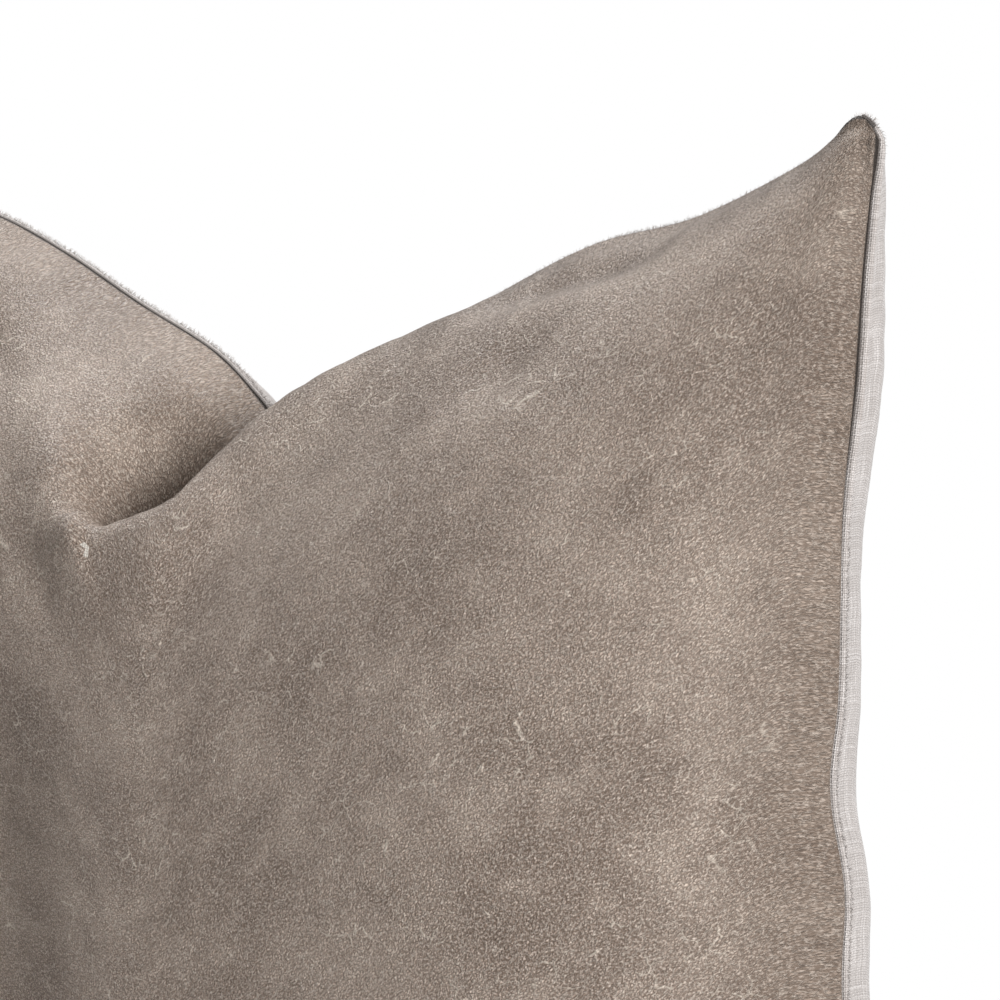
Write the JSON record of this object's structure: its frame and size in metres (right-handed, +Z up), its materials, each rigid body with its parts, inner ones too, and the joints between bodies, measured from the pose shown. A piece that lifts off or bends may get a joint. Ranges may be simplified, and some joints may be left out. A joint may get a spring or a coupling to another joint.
{
  "type": "throw pillow",
  "caption": "Square throw pillow with a leather-look front, a linen-weave back, a knife-edge seam, a chopped dent in the top and a concealed zip along the bottom edge.",
  "frame": {"origin": "on the floor, under the middle of the pillow as it stands on its zip edge", "axes": "+X along the width of the pillow, +Z up, the leather-look front faces -Y"},
  "size_m": [0.48, 0.1868, 0.472],
  "materials": {
    "leather": "matte",
    "knit_backing": "matte",
    "linen": "matte",
    "seam_thread": "matte",
    "pale_thread": "matte",
    "zip_tape": "matte",
    "zip_nylon": "satin",
    "zip_metal": "satin",
    "ticking": "matte",
    "fill": "matte",
    "label": "satin"
  },
  "bodies": {
    "cushion": {"front_panel": "leather", "front_backing": "knit_backing", "back_panel": "linen", "seam_thread": "seam_thread", "overlock_thread": "pale_thread", "zip_tape_front": "zip_tape", "zip_tape_back": "zip_tape", "zip_coil_front": "zip_nylon", "zip_coil_back": "zip_nylon", "zip_stop_front": "zip_metal", "zip_stop_back": "zip_metal", "zip_bottom_stop": "zip_metal", "zip_stitch_front": "seam_thread", "zip_stitch_back": "seam_thread", "end_tack_left": "seam_thread", "end_tack_right": "seam_thread", "insert_front": "ticking", "insert_back": "ticking", "insert_seam_thread": "pale_thread", "fill": "fill", "care_label": "label", "label_stitch": "pale_thread"},
    "slider": {"zip_slider": "zip_metal"},
    "tab": {"pull_tab": "zip_metal"}
  },
  "joints": [
    {"name": "zip_run", "type": "slide", "parent": "cushion", "child": "slider", "axis": [-1, 0, 0], "range_m": [0, 0.372]},
    {"name": "tab_pivot", "type": "hinge", "parent": "slider", "child": "tab", "pos_m": [0.188, 0, 0.0033], "axis": [0, -1, 0], "range_deg": [0, 120]}
  ]
}
